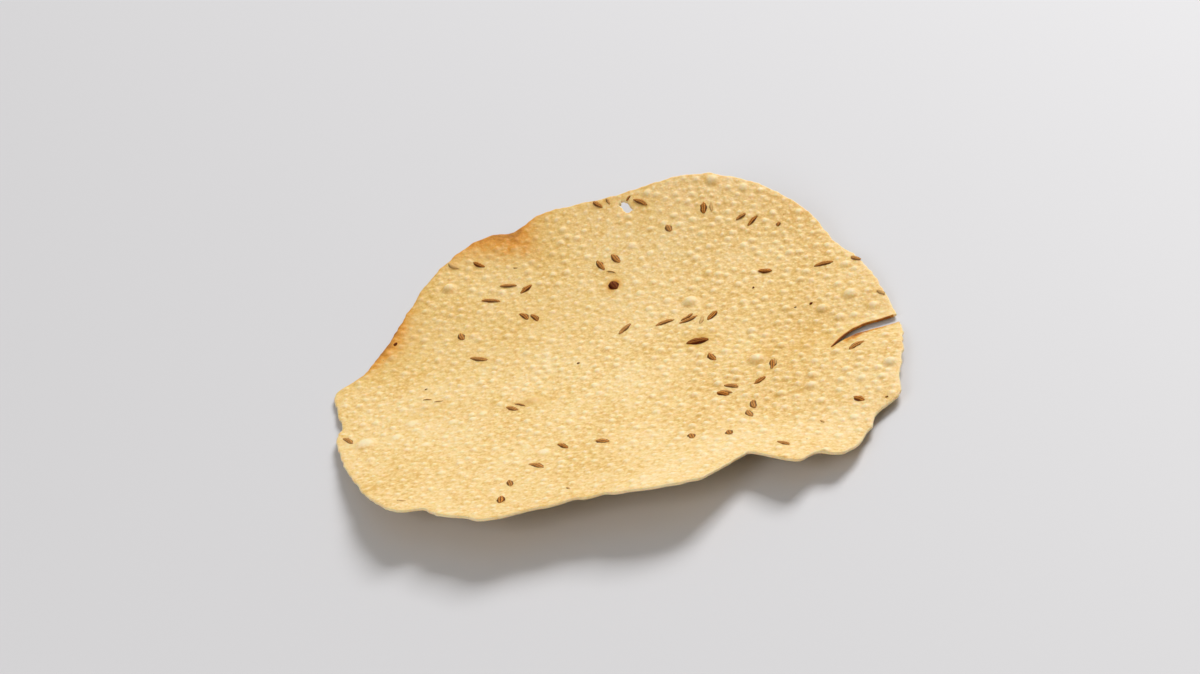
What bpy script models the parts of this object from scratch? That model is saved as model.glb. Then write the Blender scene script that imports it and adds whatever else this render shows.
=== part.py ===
# Fried papadum: one thin round wafer, bent into a shallow trough, blistered on both faces,
# with a cracked and scalloped edge and cumin seeds baked into its upper face.
# The wafer's middle is over the origin, and it rests on the plane z = 0.

import math
import random

import bmesh
import bpy
from mathutils import Matrix, Vector
from mathutils.geometry import delaunay_2d_cdt

# Sizes are in millimetres and headings in degrees, counterclockwise from +X seen from above.
MM = 0.001
RADIUS = 84.7
THICKNESS = 1.0
SEED_LENGTH = 4.6
SEED_WIDTH = 1.5
SEED_HEIGHT = 1.2

# The trough's valley runs along this heading, a little behind the middle.
TROUGH_HEADING = -14.0
VALLEY_BACK = 8.0
BACK_RISE = 13.5
FRONT_RISE = 11.0
# The valley's low line is pressed flat by this much where it lies on the table.
FLAT_DEPTH = 0.3

# Slow waves of the sheet at the edge: heading, lift, half-width in degrees.
EDGE_WAVES = (
    (28, -1.5, 16), (66, 1.5, 14), (128, 1.0, 14), (172, 0.8, 16),
    (212, 0.6, 16), (240, -1.0, 14), (272, 1.2, 12), (311, -3.5, 15),
)

# The right end of the trough lifts on both sides of the crack.
END_LIFT = 1.8
END_START = 20.0
END_LENGTH = 60.0
CRACK_VALLEY = 9.0

# Rounded lobes and hollows of the outline: heading, how far out, half-width in degrees.
EDGE_LOBES = (
    (6, -4.0, 17), (25, -3.5, 8), (62, 5.0, 22), (78, -4.0, 15), (120, 5.0, 19),
    (143, -6.5, 26), (165, 5.0, 5), (222, 6.5, 16), (241, 3.5, 5), (259, -3.0, 11),
    (306, 10.0, 20), (323, 1.5, 5),
)
# Sharp nicks where the edge has chipped: heading, depth, and its extent to each side.
EDGE_NICKS = (
    (104.5, 4.0, 5.5, 5.0), (179.0, 2.5, 4.5, 2.5), (226.0, 4.0, 2.5, 5.5),
    (255.5, 2.0, 2.0, 2.5), (261.5, 2.5, 1.5, 1.5), (277.5, 1.5, 1.0, 1.0),
    (292.5, 16.0, 14.5, 3.5), (301.5, 5.5, 7.0, 1.0), (318.0, 4.0, 14.0, 5.5),
)

# The crack from its tip to past the edge: x, y and half the gap. Its back lip stands higher.
CRACK = ((60, -20, 0.0), (63.5, -17, 0.7), (68, -14, 1.6), (72, -13, 2.1), (77, -12.7, 2.1), (88, -11.5, 1.9))
LIP_RISE = 1.5
LIP_SPREAD = 4.0

# A burst blister that opened a hole: x, y, half-length, half-width, heading.
HOLE = (15.0, 75.5, 3.5, 1.4, 110)
HOLE_SIDES = 8

# Blisters that stand out: x, y, radius, height. The last two have burst and are pits.
LARGE_BLISTERS = (
    (39, -16, 3.1, 1.5), (74, -37, 2.6, 1.3), (71, 5, 2.8, 1.2), (62, 2, 2.2, 1.1), (26, 24, 2.8, 1.3),
    (-26, -8, 3.2, 0.6), (-75, -11, 3.8, 0.9), (43, 74, 2.4, 1.1), (-44, 62, 2.4, 1.2), (51, -38, 2.2, 1.0),
    (25, 3, 2.9, -0.5), (5, 42, 2.2, -0.5),
)
BLISTER_COUNT = 130
BLISTER_RADIUS = (1.5, 2.3)
BLISTER_GAP = 1.0
BLISTER_RING = 6
# A blister's facets follow a cap: the ring lies at this share of the radius.
RING_REACH = 0.7
BLISTER_STEEPNESS = 0.48
# Blisters grow larger towards this heading, where the oil was hottest.
HOT_HEADING = 15.0
HOT_GROWTH = 0.25
UNDERSIDE_SHARE = 0.6

# Spacing of the sheet's facets between the blisters, and along the edge in degrees.
FACET = 4.6
FACET_JITTER = 0.3
FACET_MARGIN = 2.0
EDGE_STEP = 2.4
EDGE_STEP_LEAST = 0.8
# Plan points nearer than this are one.
SAME_POINT = 0.00001

# Cumin seeds: x, y, heading, and length as a share of SEED_LENGTH.
SEEDS = (
    (3, 53, 105, 1.1), (8, 54, 108, 1.0), (20, 75, 130, 1.1), (7, 81, 120, 0.9), (38, 64, 80, 1.0),
    (48, 56, 30, 0.8), (51, 53, 42, 1.0), (26, 60, 100, 0.7), (50, 29, 155, 0.9), (67, 24, 175, 1.2),
    (77, 22, 125, 0.8), (5, 19, 45, 1.1), (17, 17, 8, 1.2), (24, 15, 16, 1.2), (31, 14, 48, 1.0),
    (27, -8, 105, 1.0), (43, -21, 80, 1.0), (30, -27, 140, 0.9), (27, -30, 135, 0.8), (38, -28, 35, 0.9),
    (34, -40, 86, 1.0), (32, -45, 100, 0.9), (15, -52, 98, 0.7), (25, -55, 95, 0.6), (62, -51, 125, 0.8),
    (38, -68, 130, 0.9), (67, -23, 28, 1.1), (-9, -43, 140, 0.9), (-20, -40, 120, 1.0), (-28, -49, 130, 1.2),
    (-36, -57, 92, 0.9), (-39, -67, 86, 0.9), (-32, -10, 135, 0.9), (-80, -7, 120, 1.0), (-39, 23, 145, 1.2),
    (-43, 37, 100, 0.8), (-23, 39, 115, 0.9), (-20, 37, 110, 0.9), (-32, 51, 155, 1.2), (-26, 56, 160, 1.1),
    (-21, 52, 32, 0.9), (-34, 70, 165, 0.8),
)
SEED_SIDES = 5
# Rings along a seed: place along its length and share of its full girth.
SEED_RINGS = ((-0.3, 0.75), (0.0, 1.0), (0.3, 0.7))
SEED_PROUD = 0.15

DOUGH_COLOUR = (0.82, 0.56, 0.25, 1.0)
DOUGH_ROUGHNESS = 0.5
RANDOM_SEED = 7

for item in list(bpy.data.objects):
    bpy.data.objects.remove(item, do_unlink=True)


def bell(distance, width):
    return math.exp(-(distance / width) ** 2)


def turn(angle):
    # the same angle between -180 and 180
    return (angle + 180.0) % 360.0 - 180.0


def between(value, low, high):
    return max(low, min(high, value))


def polar(radius, heading):
    return radius * math.cos(math.radians(heading)), radius * math.sin(math.radians(heading))


def edge_radius(heading):
    radius = RADIUS
    for at, out, width in EDGE_LOBES:
        radius += out * bell(turn(heading - at), width)
    for at, depth, before, after in EDGE_NICKS:
        off = turn(heading - at)
        reach = before if off < 0 else after
        radius -= depth * max(0.0, 1.0 - abs(off) / reach)
    return radius


def inside_edge(x, y, margin):
    return math.hypot(x, y) < edge_radius(math.degrees(math.atan2(y, x))) - margin


def edge_headings():
    # the nicks' own corners first, then even steps between them
    headings = []
    for at, depth, before, after in EDGE_NICKS:
        headings += [at, at - before, at + after]
    headings += [EDGE_STEP * step for step in range(round(360.0 / EDGE_STEP))]
    kept = []
    for heading in headings:
        if all(abs(turn(heading - other)) > EDGE_STEP_LEAST for other in kept):
            kept.append(heading % 360.0)
    return sorted(kept)


def crack_outline():
    # up the back lip from the tip, then back along the front lip
    back, front = [], []
    for index, (x, y, half_gap) in enumerate(CRACK):
        before = CRACK[max(index - 1, 0)]
        after = CRACK[min(index + 1, len(CRACK) - 1)]
        along = Vector((after[0] - before[0], after[1] - before[1])).normalized()
        back.append((x - along.y * half_gap, y + along.x * half_gap))
        front.append((x + along.y * half_gap, y - along.x * half_gap))
    return back + front[:0:-1]


def crack_line(x):
    # the crack's middle at x, and how far the gap has opened there
    for (x0, y0, gap0), (x1, y1, gap1) in zip(CRACK, CRACK[1:]):
        if x <= x1 or (x1, y1, gap1) == CRACK[-1]:
            share = between((x - x0) / (x1 - x0), 0.0, 1.0)
            return y0 + (y1 - y0) * share, gap0 + (gap1 - gap0) * share


def hole_outline():
    x, y, half_length, half_width, heading = HOLE
    spin = Matrix.Rotation(math.radians(heading), 2)
    points = []
    for step in range(HOLE_SIDES):
        around = math.tau * step / HOLE_SIDES
        point = spin @ Vector((half_length * math.cos(around), half_width * math.sin(around)))
        points.append((x + point.x, y + point.y))
    return points


def sheet_rise(x, y):
    # height of the bent sheet over its lowest line, without blisters
    slope = math.radians(TROUGH_HEADING)
    along = x * math.cos(slope) + (y - VALLEY_BACK) * math.sin(slope)
    across = (y - VALLEY_BACK) * math.cos(slope) - x * math.sin(slope)
    rise = (BACK_RISE if across > 0 else FRONT_RISE) * (across / RADIUS) ** 2
    heading = math.degrees(math.atan2(y, x))
    reach = math.hypot(x, y) / RADIUS
    for at, lift, width in EDGE_WAVES:
        rise += lift * bell(turn(heading - at), width) * reach ** 3
    end = between((along - END_START) / END_LENGTH, 0.0, 1.0) ** 1.5
    rise += END_LIFT * end * (1.0 - bell(across, CRACK_VALLEY))
    if x > CRACK[0][0]:
        middle, gap = crack_line(x)
        widest = max(point[2] for point in CRACK)
        if y > middle:
            rise += LIP_RISE * gap / widest * math.exp(-(y - middle) / LIP_SPREAD)
    return rise


def gap_circles():
    # the corners of the crack and the hole, as circles without size
    return [(x, y, 0.0) for x, y in crack_outline() + hole_outline()]


def far_from(x, y, circles, room):
    # each circle starts with its x, y and radius
    return all(math.hypot(x - circle[0], y - circle[1]) > circle[2] + room for circle in circles)


def spread_blisters(draw):
    # the blisters that stand out, then random ones that keep clear of each other
    blisters = list(LARGE_BLISTERS)
    gaps = gap_circles()
    farthest = max(edge_radius(heading) for heading in edge_headings())
    hot_x, hot_y = polar(1.0, HOT_HEADING)
    while len(blisters) < BLISTER_COUNT + len(LARGE_BLISTERS):
        x, y = polar(farthest * math.sqrt(draw.random()), draw.uniform(0.0, 360.0))
        growth = 1.0 + HOT_GROWTH * (x * hot_x + y * hot_y) / RADIUS
        radius = draw.uniform(*BLISTER_RADIUS) * growth
        room = radius + BLISTER_GAP
        if inside_edge(x, y, room) and far_from(x, y, blisters, room) and far_from(x, y, gaps, room):
            blisters.append((x, y, radius, radius * BLISTER_STEEPNESS))
    return blisters


def blister_height(x, y, blisters):
    for bx, by, radius, height in blisters:
        away = math.hypot(x - bx, y - by) / radius
        if away < 1.0:
            return height * (1.0 - away ** 2)
    return 0.0


def inside_loop(x, y, loop):
    crossings = 0
    for (x0, y0), (x1, y1) in zip(loop, loop[1:] + loop[:1]):
        if (y0 > y) != (y1 > y) and x < x0 + (y - y0) / (y1 - y0) * (x1 - x0):
            crossings += 1
    return crossings % 2 == 1


def facet_points(blisters, draw):
    # a centre and a ring on each blister, then filler points between them
    points = []
    for x, y, radius, height in blisters:
        points.append((x, y))
        first = draw.uniform(0.0, 360.0)
        for step in range(BLISTER_RING):
            dx, dy = polar(radius * RING_REACH, first + 360.0 * step / BLISTER_RING)
            points.append((x + dx, y + dy))
    gaps = gap_circles()
    farthest = max(edge_radius(heading) for heading in edge_headings())
    row_height = FACET * math.sin(math.radians(60.0))
    last_row = math.ceil(farthest / row_height)
    last_column = math.ceil(farthest / FACET)
    jitter = FACET_JITTER * FACET
    for row in range(-last_row, last_row + 1):
        for column in range(-last_column, last_column + 1):
            x = FACET * (column + 0.5 * (row % 2)) + draw.uniform(-jitter, jitter)
            y = row_height * row + draw.uniform(-jitter, jitter)
            clear = far_from(x, y, blisters, BLISTER_GAP) and far_from(x, y, gaps, FACET_MARGIN)
            if clear and inside_edge(x, y, FACET_MARGIN):
                points.append((x, y))
    return points


def plan_triangles(points):
    # the wafer's plan, cut by the crack and the hole
    edge = [polar(edge_radius(heading), heading) for heading in edge_headings()]
    crack = crack_outline()
    hole = hole_outline()
    loops = (edge, crack, hole)
    corners = [Vector(point) for loop in loops for point in loop]
    edges = []
    first = 0
    for loop in loops:
        edges += [(first + step, first + (step + 1) % len(loop)) for step in range(len(loop))]
        first += len(loop)
    corners += [Vector(point) for point in points]
    plan, _, triangles, _, _, _ = delaunay_2d_cdt(corners, edges, [], 0, SAME_POINT)
    kept = []
    for triangle in triangles:
        middle = sum((plan[corner] for corner in triangle), Vector((0.0, 0.0))) / 3.0
        if inside_loop(*middle, edge) and not inside_loop(*middle, crack) and not inside_loop(*middle, hole):
            kept.append(triangle)
    return plan, kept


def wafer_mesh(blisters, draw):
    plan, triangles = plan_triangles(facet_points(blisters, draw))
    used = sorted({corner for triangle in triangles for corner in triangle})
    shape = bmesh.new()
    upper, lower = {}, {}
    for corner in used:
        x, y = plan[corner]
        base = sheet_rise(x, y) - FLAT_DEPTH
        swell = blister_height(x, y, blisters)
        under = max(0.0, base - UNDERSIDE_SHARE * max(swell, 0.0))
        upper[corner] = shape.verts.new(Vector((x, y, base + THICKNESS + swell)) * MM)
        lower[corner] = shape.verts.new(Vector((x, y, under)) * MM)
    for a, b, c in triangles:
        shape.faces.new((upper[a], upper[b], upper[c]))
        shape.faces.new((lower[c], lower[b], lower[a]))
    sides = {side for a, b, c in triangles for side in ((a, b), (b, c), (c, a))}
    for start, stop in sorted(sides):
        if (stop, start) not in sides:
            shape.faces.new((upper[stop], upper[start], lower[start], lower[stop]))
    bmesh.ops.triangulate(shape, faces=shape.faces[:])
    mesh = bpy.data.meshes.new("papadum")
    shape.to_mesh(mesh)
    shape.free()
    return mesh


def seed_mesh(length):
    # a pointed grain along X
    shape = bmesh.new()
    tips = [shape.verts.new((side * length / 2.0, 0.0, 0.0)) for side in (-1, 1)]
    rings = []
    for place, girth in SEED_RINGS:
        ring = []
        for step in range(SEED_SIDES):
            around = math.tau * step / SEED_SIDES
            y = girth * SEED_WIDTH / 2.0 * math.cos(around)
            z = girth * SEED_HEIGHT / 2.0 * math.sin(around)
            ring.append(shape.verts.new((place * length, y, z)))
        rings.append(ring)
    for step in range(SEED_SIDES):
        after = (step + 1) % SEED_SIDES
        shape.faces.new((tips[0], rings[0][after], rings[0][step]))
        shape.faces.new((tips[1], rings[-1][step], rings[-1][after]))
        for near, far in zip(rings, rings[1:]):
            shape.faces.new((near[step], near[after], far[after], far[step]))
    bmesh.ops.triangulate(shape, faces=shape.faces[:])
    bmesh.ops.recalc_face_normals(shape, faces=shape.faces[:])
    bmesh.ops.scale(shape, verts=shape.verts[:], vec=(MM, MM, MM))
    mesh = bpy.data.meshes.new("cumin_seed")
    shape.to_mesh(mesh)
    shape.free()
    return mesh


def top_height(x, y, blisters):
    return sheet_rise(x, y) - FLAT_DEPTH + THICKNESS + blister_height(x, y, blisters)


def lay_seeds(blisters):
    # each seed lies along the sheet, sunk to just below its middle
    seeds = bpy.data.collections.new("cumin_seeds")
    bpy.context.scene.collection.children.link(seeds)
    for index, (x, y, heading, share) in enumerate(SEEDS):
        length = SEED_LENGTH * share
        dx, dy = polar(length / 2.0, heading)
        ends = [top_height(x + side * dx, y + side * dy, blisters) for side in (-1, 1)]
        middle = max(top_height(x, y, blisters), sum(ends) / 2.0)
        seed = bpy.data.objects.new("cumin_seed_%02d" % index, seed_mesh(length))
        seed.location = Vector((x, y, middle + SEED_PROUD)) * MM
        pitch = -math.atan2(ends[1] - ends[0], length)
        seed.rotation_euler = (0.0, pitch, math.radians(heading))
        seeds.objects.link(seed)
    return seeds


def fuse(wafer, seeds):
    union = wafer.modifiers.new("seeds", "BOOLEAN")
    union.operation = "UNION"
    union.operand_type = "COLLECTION"
    union.collection = seeds
    union.solver = "EXACT"
    fused = bpy.data.meshes.new_from_object(wafer.evaluated_get(bpy.context.evaluated_depsgraph_get()))
    wafer.modifiers.remove(union)
    wafer.data = fused
    for seed in list(seeds.objects):
        bpy.data.objects.remove(seed, do_unlink=True)
    bpy.data.collections.remove(seeds)


def largest_shell(mesh):
    # keeps the one outer skin: drops loose scraps and any hollow that fusing sealed
    shape = bmesh.new()
    shape.from_mesh(mesh)
    bmesh.ops.triangulate(shape, faces=shape.faces[:])
    unseen = set(shape.verts)
    shells = []
    while unseen:
        shell = set()
        reached = [unseen.pop()]
        while reached:
            vertex = reached.pop()
            shell.add(vertex)
            for edge in vertex.link_edges:
                other = edge.other_vert(vertex)
                if other in unseen:
                    unseen.discard(other)
                    reached.append(other)
        shells.append(shell)
    outer = max(shells, key=len)
    bmesh.ops.delete(shape, geom=[vertex for vertex in shape.verts if vertex not in outer], context="VERTS")
    shape.to_mesh(mesh)
    shape.free()


def fried_dough():
    # pale golden, matt with a faint oily shine
    material = bpy.data.materials.new("fried_dough")
    material.use_nodes = True
    shader = material.node_tree.nodes["Principled BSDF"]
    shader.inputs["Base Color"].default_value = DOUGH_COLOUR
    shader.inputs["Roughness"].default_value = DOUGH_ROUGHNESS
    shader.inputs["Metallic"].default_value = 0.0
    return material


draw = random.Random(RANDOM_SEED)
blisters = spread_blisters(draw)
papadum = bpy.data.objects.new("papadum", wafer_mesh(blisters, draw))
bpy.context.scene.collection.objects.link(papadum)
fuse(papadum, lay_seeds(blisters))
largest_shell(papadum.data)
papadum.data.materials.clear()
papadum.data.materials.append(fried_dough())
papadum.data.shade_smooth()
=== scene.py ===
# A fried papadum: a thin wafer of lentil dough, blistered all over, with cumin seeds baked in
import math
import random
from functools import partial

import bpy
import numpy as np
from mathutils import Matrix, Vector, noise
from mathutils.geometry import delaunay_2d_cdt
from mathutils.kdtree import KDTree


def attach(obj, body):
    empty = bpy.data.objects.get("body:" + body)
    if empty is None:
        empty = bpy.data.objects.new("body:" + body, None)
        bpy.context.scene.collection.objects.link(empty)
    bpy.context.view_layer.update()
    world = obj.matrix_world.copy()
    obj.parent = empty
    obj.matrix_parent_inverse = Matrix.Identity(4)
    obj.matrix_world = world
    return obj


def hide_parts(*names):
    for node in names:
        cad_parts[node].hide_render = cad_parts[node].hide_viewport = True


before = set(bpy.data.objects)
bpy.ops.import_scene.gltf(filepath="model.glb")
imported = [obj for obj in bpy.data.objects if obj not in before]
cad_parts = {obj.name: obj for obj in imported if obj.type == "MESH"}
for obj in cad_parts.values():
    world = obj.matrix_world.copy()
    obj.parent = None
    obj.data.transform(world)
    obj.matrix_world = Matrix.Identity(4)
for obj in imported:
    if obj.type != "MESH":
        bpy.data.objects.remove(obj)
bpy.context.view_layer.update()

mm = 0.001  # every size below is in millimetres, every heading in degrees counterclockwise from +X
mathNode, vectorNode, rangeNode = "ShaderNodeMath", "ShaderNodeVectorMath", "ShaderNodeMapRange"


def addNode(tree, kind, inputs=None, out=0, **settings):
    # adds a node, sets or links its inputs, and gives back one of its outputs, or the node for out=None
    node = tree.nodes.new(kind)
    for name, value in settings.items():
        setattr(node, name, value)
    for name, value in (inputs or {}).items():
        if isinstance(value, bpy.types.NodeSocket):
            tree.links.new(value, node.inputs[name])
        else:
            node.inputs[name].default_value = value
    return node.outputs[out] if node.outputs and out is not None else node


def toLinear(hexColour):
    # an sRGB hex value as linear red, green, blue and alpha
    parts = [int(hexColour[i:i + 2], 16) / 255.0 for i in (1, 3, 5)]
    return [c / 12.92 if c <= 0.04045 else ((c + 0.055) / 1.055) ** 2.4 for c in parts] + [1.0]


def newPiece(name, data):
    piece = bpy.data.objects.new(name, data)
    bpy.context.scene.collection.objects.link(piece)
    return piece


def storeValues(mesh, values):
    # one number at each point, for the trees and the materials to read
    for name, value in values.items():
        mesh.attributes.new(name, "FLOAT", "POINT").data.foreach_set("value", np.array(value, np.float32))


# The wafer's sheet, as rolled, fried and bent
wafer = {
    "radius": 84.7,
    "thickness": 1.0,
    "troughHeading": -14.0,   # the trough's valley runs this way
    "valleyBack": 8.0,        # and passes this far behind the middle
    "backRise": 13.5,
    "frontRise": 11.0,
    "flatDepth": 0.3,         # the valley's low line, pressed flat where it rests
    "edgeWaves": (            # heading, lift, half-width
        (28, -1.5, 16), (66, 1.5, 14), (128, 1.0, 14), (172, 0.8, 16),
        (212, 0.6, 16), (240, -1.0, 14), (272, 1.2, 12), (311, -3.5, 15)),
    "edgeWaveCurve": 3,       # they start the nearer to the edge, the higher this is
    "endLift": 1.8,           # the trough's right end stands higher on both sides of the crack
    "endStart": 20.0,
    "endLength": 60.0,
    "endCurve": 1.5,          # 1 rises evenly, more rises late
    "crackValley": 9.0,
    "lobes": (                # heading, how far out, half-width
        (6, -4.0, 17), (25, -3.5, 8), (62, 5.0, 22), (78, -4.0, 15), (120, 5.0, 19),
        (143, -6.5, 26), (165, 5.0, 5), (222, 6.5, 16), (241, 3.5, 5), (259, -3.0, 11),
        (306, 10.0, 20), (323, 1.5, 5)),
    "nicks": (                # chips in the edge: heading, depth, extent before and after
        (104.5, 4.0, 5.5, 5.0), (179.0, 2.5, 4.5, 2.5), (226.0, 4.0, 2.5, 5.5),
        (255.5, 2.0, 2.0, 2.5), (261.5, 2.5, 1.5, 1.5), (277.5, 1.5, 1.0, 1.0),
        (292.5, 16.0, 14.5, 3.5), (301.5, 5.5, 7.0, 1.0), (318.0, 4.0, 14.0, 5.5)),
    "crack": (                # x, y and half the gap, from the tip to past the edge
        (60, -20, 0.0), (63.5, -17, 0.7), (68, -14, 1.6), (72, -13, 2.1), (77, -12.7, 2.1),
        (88, -11.5, 1.9)),
    "lipRise": 1.5,           # the crack's back lip stands higher
    "lipSpread": 4.0,
    "hole": (15.0, 75.5, 3.5, 1.4, 110),   # x, y, half-length, half-width, heading
    "holeShown": 0.88,        # the torn hole's share of the CAD's, and how much it varies
    "holeRagged": 0.32,
    "holeRipple": 2.0,
    "holePoints": 30,
    "cornerWear": 1.6,        # degrees over which the edge's corners are rounded, and how evenly
    "wearBell": 0.7,
    "wearSteps": 9,
    "edgeRipple": 0.55,       # small unevenness of the rim, and how long its ripples are
    "rippleLength": 4.5,
    "rippleSink": 0.7,        # moves the ripples inwards, so that few stand past the CAD's edge
    "crackRagged": 0.25,
    "crackRipple": 2.5,
    "crackTaper": 4.0,        # the lips are smooth this near to the tip
    "lipsApart": 40.0,        # so far in the noise that the lips don't run alike
    "crackShown": 0.65,       # share of the CAD's gap that is open between the ragged lips
    "waveHeight": 0.16,       # slow unevenness of the whole sheet
    "waveLength": 15.0,
    "upperFacet": 0.6,        # spacing of the mesh's points on each face
    "lowerFacet": 1.5,
    "facetJitter": 0.12,
    "facetRoom": 0.6,         # share of a facet that inner points keep from the edge's own
    "roundSteps": 4,          # steps of the rounded rim, and its depth for half the thickness
    "roundDepth": 0.9,
}

crackPlaces, crackMiddles, crackGaps = np.array(wafer["crack"], float).T

# Each kind of unevenness reads its own layer of the noise
layers = {"rim": 0.0, "crack": 3.0, "sheet": 5.0, "puffing": 7.0, "hole": 13.0}


def ripple(x, y, length, layer):
    # smooth noise of about -1 to 1, with a second finer layer
    finer, share, apart = 2.6, 0.5, 9.0
    near = noise.noise(Vector((x / length, y / length, layers[layer])))
    fine = noise.noise(Vector((finer * x / length, finer * y / length, layers[layer] + apart)))
    return near + share * fine


def ripples(x, y, length, layer):
    return np.array([ripple(a, b, length, layer) for a, b in zip(x, y)])


def bell(distance, width):
    return np.exp(-(distance / width) ** 2)


def turned(angle):
    # the same angle between -180 and 180
    return (angle + 180.0) % 360.0 - 180.0


def direction(heading):
    return math.cos(math.radians(heading)), math.sin(math.radians(heading))


def headingOf(x, y):
    return math.degrees(math.atan2(y, x))


def edgeRadius(heading):
    radius = wafer["radius"] + 0.0 * heading
    for at, out, width in wafer["lobes"]:
        radius = radius + out * bell(turned(heading - at), width)
    for at, depth, before, after in wafer["nicks"]:
        off = turned(heading - at)
        reach = np.where(off < 0.0, before, after)
        radius = radius - depth * np.maximum(0.0, 1.0 - np.abs(off) / reach)
    return radius


def wornRadius(heading):
    # the same edge with its corners worn round
    offsets = np.linspace(-1.0, 1.0, wafer["wearSteps"])
    weights = bell(offsets, wafer["wearBell"])
    near = [float(edgeRadius(heading + wafer["cornerWear"] * offset)) for offset in offsets]
    return sum(weight * radius for weight, radius in zip(weights, near)) / weights.sum()


def crackLips(share=1.0):
    # both lips from the tip outwards, as the CAD has them, or nearer each other
    back, front = [], []
    crack = wafer["crack"]
    for index, (x, y, halfGap) in enumerate(crack):
        before, after = crack[max(index - 1, 0)], crack[min(index + 1, len(crack) - 1)]
        along = Vector((after[0] - before[0], after[1] - before[1])).normalized()
        halfGap *= share
        back.append((x - along.y * halfGap, y + along.x * halfGap))
        front.append((x + along.y * halfGap, y - along.x * halfGap))
    return back, front


def ellipseLoop(x, y, halfLength, halfWidth, heading, count):
    spin = Matrix.Rotation(math.radians(heading), 2)
    points = []
    for step in range(count):
        around = math.tau * step / count
        point = spin @ Vector((halfLength * math.cos(around), halfWidth * math.sin(around)))
        points.append((x + point.x, y + point.y))
    return points


def raggedHole():
    # the hole's edge, clockwise, torn unevenly inside the CAD's
    hx, hy = wafer["hole"][:2]
    loop = []
    for x, y in ellipseLoop(*wafer["hole"], wafer["holePoints"])[::-1]:
        share = wafer["holeShown"] + wafer["holeRagged"] * ripple(x, y, wafer["holeRipple"], "hole")
        loop.append((hx + (x - hx) * share, hy + (y - hy) * share))
    return np.array(loop)


def sheetRise(x, y):
    # height of the bent sheet over its lowest line, without blisters
    c, s = direction(wafer["troughHeading"])
    along = x * c + (y - wafer["valleyBack"]) * s
    across = (y - wafer["valleyBack"]) * c - x * s
    rise = np.where(across > 0.0, wafer["backRise"], wafer["frontRise"]) * (across / wafer["radius"]) ** 2
    heading = np.degrees(np.arctan2(y, x))
    reach = np.hypot(x, y) / wafer["radius"]
    for at, lift, width in wafer["edgeWaves"]:
        rise = rise + lift * bell(turned(heading - at), width) * reach ** wafer["edgeWaveCurve"]
    end = np.clip((along - wafer["endStart"]) / wafer["endLength"], 0.0, 1.0) ** wafer["endCurve"]
    rise = rise + wafer["endLift"] * end * (1.0 - bell(across, wafer["crackValley"]))
    middle = np.interp(x, crackPlaces, crackMiddles)
    lip = wafer["lipRise"] * np.interp(x, crackPlaces, crackGaps) / crackGaps.max()
    lip = lip * np.exp(-np.abs(y - middle) / wafer["lipSpread"])
    return rise + np.where((x > crackPlaces[0]) & (y > middle), lip, 0.0)


def bedHeight(x, y):
    # the sheet's lower face with its slow unevenness
    waves = ripples(x, y, wafer["waveLength"], "sheet")
    return sheetRise(x, y) - wafer["flatDepth"] + wafer["waveHeight"] * waves


def evenSteps(line, step):
    # the same line with points at even steps
    line = np.array(line, float)
    run = np.concatenate(([0.0], np.cumsum(np.hypot(*np.diff(line, axis=0).T))))
    count = max(2, round(run[-1] / step) + 1)
    places = np.linspace(0.0, run[-1], count)
    return np.stack([np.interp(places, run, line[:, axis]) for axis in (0, 1)], axis=1)


def outlineLoop():
    # counterclockwise round the edge, then in along the crack's front lip and out along the back lip
    step = math.degrees(wafer["upperFacet"] / wafer["radius"])
    clear = wafer["facetRoom"] * step
    corners = [at + off for at, depth, before, after in wafer["nicks"] for off in (-before, 0.0, after)]
    even = [index * step for index in range(round(360.0 / step))]
    headings = corners + [h for h in even if all(abs(turned(h - corner)) > clear for corner in corners)]
    lips = []
    for side, lip in zip((1.0, -1.0), crackLips(wafer["crackShown"])):
        points = []
        for x, y in evenSteps(lip, wafer["upperFacet"])[1:]:
            if math.hypot(x, y) > edgeRadius(headingOf(x, y)) - 0.5 * wafer["upperFacet"]:
                break
            ragged = ripple(x, side * wafer["lipsApart"], wafer["crackRipple"], "crack")
            ragged *= wafer["crackRagged"] * min(1.0, (x - crackPlaces[0]) / wafer["crackTaper"])
            points.append((x, y + ragged))
        lips.append(points)
    back, front = lips
    first, last = headingOf(*back[-1]) + clear, headingOf(*front[-1]) - clear
    edge = []
    for heading in sorted((h - first) % 360.0 for h in headings):
        if heading < (last - first) % 360.0:
            around = math.radians(heading + first)
            radius = wornRadius(math.degrees(around))
            x, y = radius * math.cos(around), radius * math.sin(around)
            radius += wafer["edgeRipple"] * (ripple(x, y, wafer["rippleLength"], "rim") - wafer["rippleSink"])
            edge.append((radius * math.cos(around), radius * math.sin(around)))
    return np.array(edge + front[::-1] + [wafer["crack"][0][:2]] + back)


def inset(loop, depth):
    # the loop moved towards the dough, which lies on its left
    along = np.roll(loop, -1, axis=0) - np.roll(loop, 1, axis=0)
    along /= np.hypot(*along.T)[:, None]
    return loop + depth * np.stack([-along[:, 1], along[:, 0]], axis=1)


def insideLoop(x, y, loop):
    # even-odd test of one point against a closed loop
    ends = np.roll(loop, -1, axis=0)
    crosses = (loop[:, 1] > y) != (ends[:, 1] > y)
    rise = np.where(crosses, ends[:, 1] - loop[:, 1], 1.0)
    at = loop[:, 0] + (y - loop[:, 1]) / rise * (ends[:, 0] - loop[:, 0])
    return np.count_nonzero(crosses & (at > x)) % 2 == 1


def treeOf(points):
    # for finding the nearest of these points
    tree = KDTree(len(points))
    for index, (x, y) in enumerate(points):
        tree.insert((x, y, 0.0), index)
    tree.balance()
    return tree


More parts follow.
